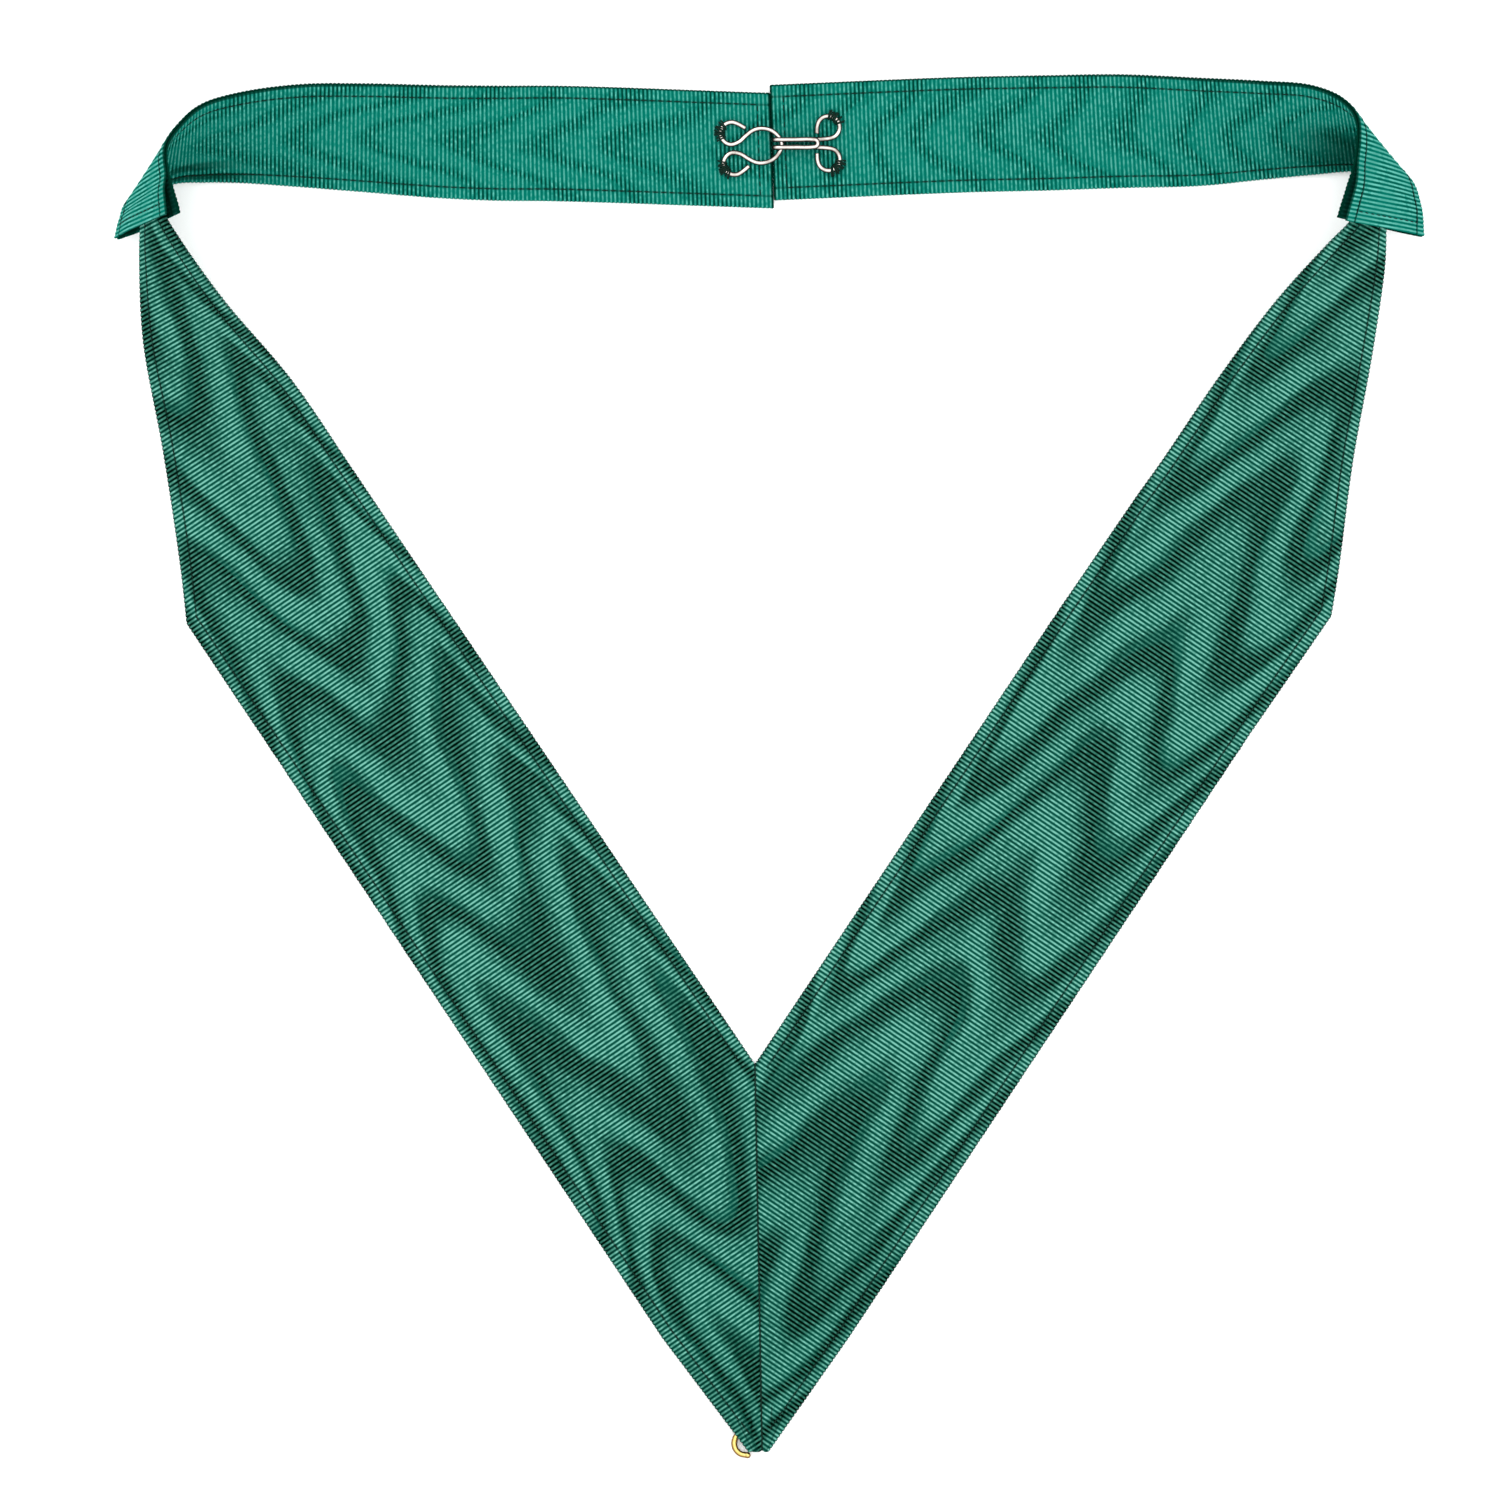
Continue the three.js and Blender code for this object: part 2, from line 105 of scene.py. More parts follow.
class Ribbon:
    # cuts are the straight lines across the folded cloth: where their two ends are
    # in space and on the flat ribbon
    def __init__(self, low, high, last, perRow, flatLow, flatHigh):
        self.perRow = perRow
        self.cuts = []
        for k in range(round(last * perRow) + 1):
            a, b = low(k / perRow), high(k / perRow)
            if self.cuts:
                oldA, oldB, oldFlatA, oldFlatB = self.cuts[-1]
                flatLow = self.unfold(oldA, oldB, oldFlatA, oldFlatB, a, 1)
                flatHigh = self.unfold(oldB, a, oldFlatB, flatLow, b, -1)
            self.cuts.append((a, b, flatLow, flatHigh))
        self.lowEdge = [c[2] for c in self.cuts]
        self.highEdge = [c[3] for c in self.cuts]

    @staticmethod
    def unfold(a, b, flatA, flatB, p, way):
        # the flat place of p, which lies near a, in the triangle a b p
        line = (b - a).normalized()
        alongLine = (p - a).dot(line)
        off = math.sqrt(max((p - a).length_squared - alongLine * alongLine, 0))
        e = (flatB - flatA).normalized()
        return flatA + alongLine * e + off * way * Vector((e.y, -e.x))

    @staticmethod
    def edgeAt(edge, u):
        # v where the edge crosses that u
        low, high = 0, len(edge) - 1
        while high - low > 1:
            middle = (low + high) // 2
            if edge[middle].x <= u:
                low = middle
            else:
                high = middle
        a, b = edge[low], edge[high]
        return mix(a.y, b.y, (u - a.x) / (b.x - a.x)) if b.x > a.x else a.y

    def past(self, k, u, v):
        # how far a flat place is past cut k
        flatA, flatB = self.cuts[k][2], self.cuts[k][3]
        ex, ey = flatB.x - flatA.x, flatB.y - flatA.y
        return ((u - flatA.x) * ey - (v - flatA.y) * ex) / math.hypot(ex, ey)

    def onCut(self, k, u, v):
        a, b, flatA, flatB = self.cuts[k]
        ex, ey = flatB.x - flatA.x, flatB.y - flatA.y
        share = ((u - flatA.x) * ex + (v - flatA.y) * ey) / (ex * ex + ey * ey)
        return a + (b - a) * share

    def lay(self, u, v):
        # the folded place of a flat one, and the row of the table that it is in
        low, high = 0, len(self.cuts) - 1
        while high - low > 1:
            middle = (low + high) // 2
            if self.past(middle, u, v) > 0:
                low = middle
            else:
                high = middle
        a, b = self.past(low, u, v), self.past(high, u, v)
        share = a / (a - b) if abs(a - b) > 1e-9 else 0
        place = self.onCut(low, u, v).lerp(self.onCut(high, u, v), share)
        return place, (low + share) / self.perRow

    def facing(self, u, v, way, beside=0.4):
        # the direction that the cloth faces, on the side that way gives
        du = self.lay(u + beside, v)[0] - self.lay(u - beside, v)[0]
        dv = self.lay(u, v + beside)[0] - self.lay(u, v - beside)[0]
        return dv.cross(du).normalized() * way


ribs = {
    "pitch": 1.41,
    "height": 0.24,
    "shape": (0, 0.8, 1, 0.8),                        # of one rib, four rows of the mesh
    "serration": 0.28,
    "evenEdge": 0.45,                                 # the rib height at the edge's own line
}
hem = {
    "steps": (0, 0.25, 0.9, 2.2, 3.35, 4.0, 4.65),    # columns of the mesh, in from each edge
    "stitchIn": 4.0,
    "groove": 0.22,
    "grooveHalf": 0.75,
    "grooveBelow": 0.6,                               # its depth on the side that lies down
    "rounded": 1.1,                                   # where the cloth has its full thickness
    "edgeThickness": 0.45,
    "narrow": 3.2,                                    # hems shrink where the cloth is narrower
}


def columnsOf(inside):
    # (distance from the low edge, distance from the high edge, share between them)
    lows = [(d, None, None) for d in hem["steps"]]
    highs = [(None, d, None) for d in reversed(hem["steps"])]
    return lows + [(None, None, (j + 1) / (inside + 1)) for j in range(inside)] + highs


def thicknessShare(distance):
    r = min(distance / hem["rounded"], 1)
    return mix(hem["edgeThickness"], 1, math.sqrt(1 - (1 - r) ** 2))


def weave(name, ribbon, rows, columns, edges, offsets, stitched):
    # One closed sheet. rows gives each rib's u on the low and the high edge, edges the
    # v of both edges there, offsets how far the two faces lie from the middle surface,
    # and stitched says for a row which edges are sewn and serrated.
    width = len(columns)
    farIn = 2 * hem["steps"][-1]       # the edge distance written along an edge with no hem
    bm = bmesh.new()
    bmesh.ops.create_grid(bm, x_segments=width - 1, y_segments=len(rows) - 1, size=1)
    number = bm.verts.layers.int.new("number")
    fromEdge = bm.verts.layers.float.new("edgeDistance")
    inside = bm.verts.layers.float.new("inside")
    for index, vert in enumerate(bm.verts):
        vert[number] = index
    doubled = bmesh.ops.extrude_face_region(bm, geom=bm.faces[:], use_keep_orig=True)
    under = {e for e in doubled["geom"] if isinstance(e, bmesh.types.BMVert)}

    flat, faces = [], []
    for i, (uLow, uHigh) in enumerate(rows):
        vLow, vHigh = edges(uLow, uHigh)
        across = vHigh - vLow
        small = min(1, across / (hem["narrow"] * hem["steps"][-1]))
        lowSewn, highSewn = stitched(uLow, uHigh)
        rib = ribs["shape"][(i - ribbon.early) % 4]
        for low, high, share in columns:
            sewn = True
            if low is not None:
                v, edge, sewn = vLow + low * small, low, lowSewn
            elif high is not None:
                v, edge, sewn = vHigh - high * small, high, highSewn
            else:
                first = vLow + hem["steps"][-1] * small
                last = vHigh - hem["steps"][-1] * small
                v = mix(first, last, share)
                edge = min(v - vLow, vHigh - v)
            u = mix(uLow, uHigh, (v - vLow) / across)
            if edge == 0 and sewn:
                out = (rib - ribs["evenEdge"]) * ribs["serration"]
                v += -out if low is not None else out
            dip = max(0, 1 - abs(edge - hem["stitchIn"]) / hem["grooveHalf"]) if sewn else 0
            flat.append((u, v, edge if sewn else farIn, v - vLow))
            faces.append((rib, dip, thicknessShare(edge * small)))

    places, turned = [], []
    for u, v, *rest in flat:
        place, row = ribbon.lay(u, v)
        places.append(place)
        turned.append(row)
    count = len(rows)
    for vert in bm.verts:
        n = vert[number]
        i, j = divmod(n, width)
        before, after = max(i - 1, 0) * width + j, min(i + 1, count - 1) * width + j
        left, right = i * width + max(j - 1, 0), i * width + min(j + 1, width - 1)
        normal = (places[right] - places[left]).cross(places[after] - places[before]).normalized()
        rib, dip, full = faces[n]
        top, bottom, ribbedBottom = offsets(turned[n], flat[n][3])
        middle = (top + bottom) / 2
        if vert in under:
            w = middle + (bottom - middle) * full
            if ribbedBottom:
                w += (1 - rib) * ribs["height"] * full + dip * hem["groove"] * hem["grooveBelow"]
        else:
            w = middle + (top - middle) * full
            inwards = math.copysign(1, bottom - top)
            w += inwards * ((1 - rib) * ribs["height"] * full + dip * hem["groove"])
        vert.co = inFrame(places[n] + normal * w * ribbon.way)
        vert[fromEdge] = flat[n][2] / 1000
        # marks the inner faces of the neckband's layers, which the ribbon look paints with shade
        vert[inside] = 1 if vert in under and not ribbedBottom else 0
    bmesh.ops.recalc_face_normals(bm, faces=bm.faces[:])
    uv = bm.loops.layers.uv.new("ribbon")
    for face in bm.faces:
        face.smooth = True
        for loop in face.loops:
            n = loop.vert[number]
            fromLow = flat[n][3] if ribbon.drifts else flat[n][1]
            loop[uv].uv = ((n // width - ribbon.early) * ribs["pitch"] / 4000, fromLow / 1000)
    bm.verts.layers.int.remove(bm.verts.layers.int["number"])
    return finished(name, bm)


def finished(name, bm, material=None):
    mesh = bpy.data.meshes.new(name)
    bm.to_mesh(mesh)
    bm.free()
    piece = bpy.data.objects.new(name, mesh)
    bpy.context.scene.collection.objects.link(piece)
    if material:
        mesh.materials.append(material)
    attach(piece, "root")
    return piece


# Straps

strap = {
    "width": 76.2,
    "thickness": 1.6,
    "heading": {"left": 124.2, "right": 56.2},
    "bluntTip": {"left": 4.5, "right": 2.0},
    "inPocket": {"outer": 0.46, "inner": 0.9},
    "endRows": 0.64,
    "endSteps": 5,
    "seamGap": 0.12,
    "firstRow": 0.25,                  # in from the tip
    "topAdded": 0.1,                   # the ribs stand proud of the upper face
    "columns": 11,
    "meshCuts": 24,                    # for each row of the table, also in the neckband
}
# along and outerAlong are shares of the strap's length up from the seam, bow and reach
# shares of its width, and the lifts shares of the neckband's width
strapRows = {
    "left": [
        # along, bow, innerLift, outerAlong, reach, outerLift, corner
        (0.982, 0.052, 0.89, 0.99, 0.247, 0.44, False),
        (0.91, 0.043, 0.66, 0.923, 0.436, 0.2, False),
        (0.809, -0.006, 0.35, 0.822, 0.64, 0.035, False),
        (0.712, -0.007, 0.11, 0.722, 0.857, 0.005, False),
        (0.66, -0.006, 0.035, 0.67, 0.98, 0, True),
        (0.55, -0.004, 0, 0.55, 0.985, 0, True),
        (0.05, 0, 0, -0.17, 1.016, 0, True),
    ],
    "right": [
        (0.981, 0.088, 0.66, 0.994, 0.344, 0.31, False),
        (0.905, 0.037, 0.49, 0.917, 0.513, 0.14, False),
        (0.808, 0.014, 0.25, 0.817, 0.711, 0.025, False),
        (0.712, 0.011, 0.08, 0.721, 0.925, 0.004, False),
        (0.67, 0.005, 0.025, 0.679, 1.012, 0, True),
        (0.55, 0, 0, 0.55, 1.004, 0, True),
        (0.05, 0, 0, -0.17, 1.014, 0, True),
    ],
}

# Neckband

neckband = {
    "width": 38.6,
    "layer": 1.0,
    "opening": 1.2,
    "mouthRows": 0.8,
    "mouthSpread": {"left": 1.6, "right": 0.6},
    "slant": (0, 12, 22, 10),          # of the cuts, in degrees, from the end backwards
    "endAdded": {"lining": 0.12, "face": 0.42},     # closes the gap between the halves
    "mouthLead": 0.4,                  # rows by which the layers part before the mouth
    "partedOver": 0.6,
    "fanFrom": 0.6,                    # share of the length where the ribs begin to fan
    "columns": 6,
}
# out is a share of the half width, up and lift shares of the neckband's width
neckbandRows = {
    "left": [
        # upperOut, upperUp, lowerOut, lowerUp, lowerLift
        (-0.002, 0.998, -0.008, -0.002, 0),
        (0.316, 1.059, 0.316, 0.059, 0),
        (0.41, 1.056, 0.41, 0.066, 0),
        (0.5, 1.057, 0.5, 0.091, 0),
        (0.62, 1.068, 0.62, 0.148, 0),
        (0.712, 1.057, 0.712, 0.192, 0),
        (0.804, 0.98, 0.804, 0.23, 0),
        (0.857, 0.885, 0.86, 0.235, 0),
        (0.885, 0.76, 0.905, 0.22, 0),
        (0.913, 0.53, 0.975, 0.03, 0),
        (0.911, 0.25, 0.985, -0.11, 0.05),
        (0.906, -0.06, 0.992, -0.27, 0.08),
    ],
    "right": [
        (0.005, 1.068, 0.012, 0.068, 0),
        (0.293, 1.135, 0.293, 0.135, 0),
        (0.43, 1.148, 0.43, 0.155, 0),
        (0.537, 1.152, 0.537, 0.178, 0),
        (0.66, 1.115, 0.66, 0.2, 0),
        (0.75, 1.085, 0.75, 0.255, 0),
        (0.826, 1.045, 0.83, 0.3, 0),
        (0.874, 0.925, 0.9, 0.33, 0),
        (0.895, 0.77, 0.975, 0.25, 0),
        (0.893, 0.35, 0.993, 0.02, 0.04),
        (0.873, -0.11, 0.998, -0.25, 0.08),
    ],
}
outwards = {"left": -1, "right": 1}


def neckbandRibbon(side):
    width = neckband["width"]
    low, high = [], []
    rows = neckbandRows[side]
    for i, (upperOut, upperUp, lowerOut, lowerUp, lift) in enumerate(rows):
        fromEnd = len(rows) - 1 - i
        slant = neckband["slant"][fromEnd] if fromEnd < 4 else 0
        a = Vector((
            outwards[side] * lowerOut * plan["halfWidth"],
            plan["neckLine"] + lowerUp * width,
            neckband["layer"] + lift * width,
        ))
        b = Vector((
            outwards[side] * upperOut * plan["halfWidth"],
            plan["neckLine"] + upperUp * width,
            a.z,
        ))
        longWay = width / math.cos(math.radians(slant))
        b.z += math.sqrt(max(longWay ** 2 - (b - a).length_squared, 0))
        low.append(a)
        high.append(b)
    ribbon = Ribbon(
        smoothLine(low, [], neckband["layer"]),
        smoothLine(high, [], neckband["layer"]),
        len(rows) - 1, strap["meshCuts"], Vector((0, 0)), Vector((0, width)),
    )
    ribbon.way = -outwards[side]       # that side faces up at the neck
    ribbon.drifts = True               # its flat edges bend, so v is counted from the low one
    ribbon.early = 0                   # rows before the first whole rib
    ribbon.last = len(rows) - 1
    return ribbon


def strapPlace(side, along, out, lift):
    heading = math.radians(strap["heading"][side])
    up = Vector((math.cos(heading), math.sin(heading), 0))
    outward = Vector((up.y, -up.x, 0)) * outwards[side]
    start = Vector((*plan["seamTop"], strap["thickness"] / 2 + lift))
    return start + up * along * plan["strapLength"] + outward * out * strap["width"]


def strapRibbon(side, band):
    s = outwards[side]
    inner, outer, corners = [], [], []
    for i in range(strap["endSteps"], -1, -1):
        t = band.last - strap["endRows"] * i / strap["endSteps"]
        a, b = bandCut(band, t)
        outer.append(a.lerp(b, strap["inPocket"]["outer"]))
        inner.append(a.lerp(b, strap["inPocket"]["inner"]))
    for along, bow, innerLift, outerAlong, reach, outerLift, corner in strapRows[side]:
        if corner:
            corners.append(len(inner))
        inner.append(strapPlace(side, along, bow, innerLift * neckband["width"]))
        outer.append(strapPlace(side, outerAlong, reach, outerLift * neckband["width"]))
    corners.append(len(inner))
    z = strap["thickness"] / 2
    half = strap["seamGap"] / 2
    tipZ = z + plan["pointLift"]
    (topX, topY), (tipX, tipY) = plan["seamTop"], plan["seamBottom"]
    inner.append(Vector((topX + s * (half + 0.2), topY + 0.3, z)))
    outer.append(Vector((tipX + s * (half + strap["bluntTip"][side]), tipY, tipZ)))
    inner.append(Vector((topX + s * half, topY, z)))
    outer.append(Vector((tipX + s * half, tipY, tipZ)))
    last = len(inner) - 1
    low = smoothLine(outer, corners, z)
    high = smoothLine(inner, corners, z)

    # the flat ribbon starts at the seam, on the drawing's own lines
    heading = math.radians(strap["heading"][side])
    up = Vector((math.cos(heading), math.sin(heading)))
    outward = Vector((up.y, -up.x)) * s
    fromTop = Vector((tipX - topX, tipY - topY))
    flatTip = Vector((fromTop.dot(up), strap["width"] - fromTop.dot(outward)))
    ribbon = Ribbon(
        lambda t: low(last - t), lambda t: high(last - t),
        last, strap["meshCuts"], flatTip, Vector((0, strap["width"])),
    )
    ribbon.way = -s
    ribbon.drifts = False
    ribbon.last = last
    return ribbon


def bandCut(band, t):
    k = t * band.perRow
    low = min(int(k), len(band.cuts) - 2)
    share = k - low
    return (
        band.cuts[low][0].lerp(band.cuts[low + 1][0], share),
        band.cuts[low][1].lerp(band.cuts[low + 1][1], share),
    )


def strapEdges(ribbon):
    low = ribbon.lowEdge
    high = [low[0], *ribbon.highEdge]

    def edges(uLow, uHigh):
        return Ribbon.edgeAt(low, uLow), Ribbon.edgeAt(high, uHigh)

    return edges


def strapCloth(side, ribbon):
    first = ribbon.lowEdge[0].x + strap["firstRow"]
    end = min(ribbon.lowEdge[-1].x, ribbon.highEdge[-1].x)
    step = ribs["pitch"] / 4
    start = math.ceil(first / step)
    ribbon.early = -start % 4
    rows = [(k * step, k * step) for k in range(start, int(end / step))]
    half = strap["thickness"] / 2
    ribbon.rows = rows
    return weave(
        f"{side}_strap_cloth", ribbon, rows, columnsOf(strap["columns"]), strapEdges(ribbon),
        lambda t, v: (half + strap["topAdded"], -half, True),
        lambda uLow, uHigh: (True, uHigh > 1),
    )


def layerGap(side, ribbon, t, v, upperLayer):
    # how far a layer lies from the middle surface, more where the strap goes in
    mouthAt = ribbon.last - neckband["mouthRows"]
    share = v / neckband["width"]
    parted = ease((t - mouthAt + neckband["mouthLead"]) / neckband["partedOver"])
    apart = neckband["opening"] * parted * ease((share + 0.05) / 0.4)
    if upperLayer:
        mouth = ease((t - mouthAt) / neckband["mouthRows"])
        apart += neckband["mouthSpread"][side] * mouth * max(share, 0)
    return apart


def neckbandCloth(side, ribbon, upperLayer):
    # the rows fan a little near the end, so that the last rib is the cut end
    layer = "lining" if upperLayer else "face"
    added = neckband["endAdded"][layer]
    step = ribs["pitch"] / 4
    lowEnd, highEnd = ribbon.lowEdge[-1].x, ribbon.highEdge[-1].x
    end = (lowEnd + highEnd) / 2
    rows = []
    count = round((end + added) / step)
    for i in range(count + 1):
        u = mix(-added, end, i / count)
        fan = ease((u / end - neckband["fanFrom"]) / (1 - neckband["fanFrom"]))
        rows.append((u + fan * (lowEnd - end), u + fan * (highEnd - end)))
    ribbon.rows = rows

    def offsets(t, v):
        inner = layerGap(side, ribbon, t, v, upperLayer) + 0.02
        if upperLayer:
            return inner + neckband["layer"] + 0.08, inner, False
        return -(inner + neckband["layer"]) + 0.02, -inner, False

    def edges(uLow, uHigh):
        return Ribbon.edgeAt(ribbon.lowEdge, uLow), Ribbon.edgeAt(ribbon.highEdge, uHigh)

    return weave(
        f"{side}_neckband_{layer}", ribbon, rows, columnsOf(neckband["columns"]), edges, offsets,
        lambda uLow, uHigh: (True, True))


# Looks

class Value:
    # a shader socket that takes part in sums
    def __init__(self, look, socket):
        self.look, self.socket = look, socket

    def out(self, name):
        return Value(self.look, self.socket.node.outputs[name])

    def maths(self, operation, *others):
        return self.look.node(
            "ShaderNodeMath", {"operation": operation}, dict(enumerate((self, *others))))

    def __add__(self, other):
        return self.maths("ADD", other)

    def __sub__(self, other):
        return self.maths("SUBTRACT", other)

    def __mul__(self, other):
        return self.maths("MULTIPLY", other)

    def __truediv__(self, other):
        return self.maths("DIVIDE", other)

    def __rsub__(self, other):
        return self.look.node(
            "ShaderNodeMath", {"operation": "SUBTRACT"}, {0: other, 1: self})

    __radd__ = __add__
    __rmul__ = __mul__

    def sine(self):
        return self.maths("SINE")

    def fraction(self):
        return self.maths("FRACT")

    def size(self):
        return self.maths("ABSOLUTE")

    def rise(self, start, end):
        # 0 before start, 1 after end, smooth between them
        return self.look.node(
            "ShaderNodeMapRange", {"interpolation_type": "SMOOTHSTEP"},
            {"Value": self, "From Min": start, "From Max": end}, "Result")


class Look:
    # a material in the making
    def __init__(self, name, fixed):
        self.material = bpy.data.materials.new(name)
        self.material.use_nodes = True
        self.tree = self.material.node_tree
        self.shader = self.tree.nodes["Principled BSDF"]
        for socket, value in fixed.items():
            self.shader.inputs[socket].default_value = value

    def node(self, kind, settings=None, inputs=None, output=0):
        made = self.tree.nodes.new(kind)
        for key, value in (settings or {}).items():
            if key == "stops":
                self.setStops(made.color_ramp, value)
            else:
                setattr(made, key, value)
        for key, value in (inputs or {}).items():
            if isinstance(value, Value):
                self.tree.links.new(value.socket, made.inputs[key])
            else:
                made.inputs[key].default_value = value
        return Value(self, made.outputs[output])

    @staticmethod
    def setStops(ramp, stops):
        coloured = isinstance(stops[0][1], tuple)
        ramp.interpolation = "LINEAR" if coloured else "CARDINAL"
        while len(ramp.elements) < len(stops):
            ramp.elements.new(0.5)
        for element, (place, value) in zip(ramp.elements, stops):
            element.position = place
            element.color = colour(*value) if coloured else (value, value, value, 1)

    def mix(self, factor, a, b):
        return self.node(
            "ShaderNodeMix", {"data_type": "RGBA"}, {0: factor, 6: a, 7: b}, 2)

    def noise(self, x, y, grain, seed, detail=1.0):
        # about -1 to 1, uneven over lengths of one grain
        place = self.node(
            "ShaderNodeCombineXYZ", None, {0: x / grain[0], 1: y / grain[1], 2: seed})
        cloud = self.node(
            "ShaderNodeTexNoise", None,
            {"Vector": place, "Scale": 1.0, "Detail": detail}, "Fac")
        return (cloud - 0.5) * 3.2

    def ramp(self, value, stops):
        return self.node("ShaderNodeValToRGB", {"stops": stops}, {0: value}, "Color")

    def feed(self, socket, value):
        self.tree.links.new(value.socket, self.shader.inputs[socket])


def colour(red, green, blue):
    # from the 0 to 255 of a picture to a surface under the lights of this scene
    parts = [c / 255 for c in (red, green, blue)]
    linear = [c / 12.92 if c < 0.04045 else ((c + 0.055) / 1.055) ** 2.4 for c in parts]
    return (*(c / lightLevel for c in linear), 1)


def between(pair, share):
    return pair[0] + (pair[1] - pair[0]) * share


lightLevel = 2.1
ribbonLooks = {
    "strap": {
        "width": 76.2,
        "tones": (
            (0, (0, 15, 6)), (0.15, (4, 46, 33)), (0.35, (24, 85, 68)), (0.5, (48, 114, 96)),
            (0.7, (80, 152, 133)), (0.85, (108, 187, 167)), (1, (152, 234, 213))),
        "pressedColour": (16, 138, 118),
        "groove": (-0.08, 0.1),            # painted shade between the ribs, as tones in dark and light places
        "crest": (0.64, 1.02),
        "pressed": (0.0, 0.66),            # where the ribs are flattened to one sheet
        "dashes": 0.2,
        "contour": (
            (0, 0.95), (0.1, 0.5), (0.24, 0.2), (0.52, 0.68), (0.86, 0), (0.93, 0.2), (1, 0.5)),
        "reach": {"left": 100, "right": 96},           # of the figure along the ribbon
        "period": {"left": 47, "right": 51},
        "wander": 23,
        "rimShade": 0.5,
    },
    "neckband": {
        "width": 38.6,
        "tones": (
            (0, (1, 60, 45)), (0.15, (3, 100, 84)), (0.5, (10, 129, 111)), (0.7, (24, 147, 129)),
            (0.87, (66, 184, 166)), (1, (122, 224, 207))),
        "pressedColour": (4, 140, 121),
        "groove": (0.02, 0.2),
        "crest": (0.84, 0.97),
        "pressed": (0.0, 1.35),
        "dashes": 0.24,
        "contour": ((0, 1), (0.22, 0.6), (0.5, 0), (0.78, 0.6), (1, 1)),
        "reach": {"left": 38, "right": 15},
        "period": {"left": 28, "right": 20},
        "wander": 10,
        "rimShade": 0.85,
    },
}
# grains are millimetres along and across the ribbon
watered = {
    "wanderGrain": (95, 48),
    "driftGrain": 70, "drift": 0.05,       # of the whole figure across the ribbon
    "depthGrain": 85, "depth": 0.3,        # of the zigzag
    "ragGrain": (38, 20), "rag": 7,
    "between": 0.22,                       # a fainter line between two lines
    "blotchGrain": (30, 13), "blotch": 0.7,
    "streakAt": 2.2, "streakFrom": 0.8,
    "streakGrain": (34, 26),
    "dashGrain": (1.3, 1.6),
    "faceLight": 0.2,                       # painted light: the outer layer of the neckband, seen tilted at the tabs, is made lighter
    "pointTone": 0.07, "pointReach": (20, 150),        # the straps are darker at the point
    "threadPitch": 0.32,
}
# painted shade in the hollows by the folds: start and end along the neckband, middle and half width
# across it, and how dark
shadedPlaces = {
    "left": ((168, 197, 8.5, 3.2, 0.6), (160, 192, 3.2, 2.2, 0.7)),
    "right": ((160, 200, 12, 15, 0.7),),
}


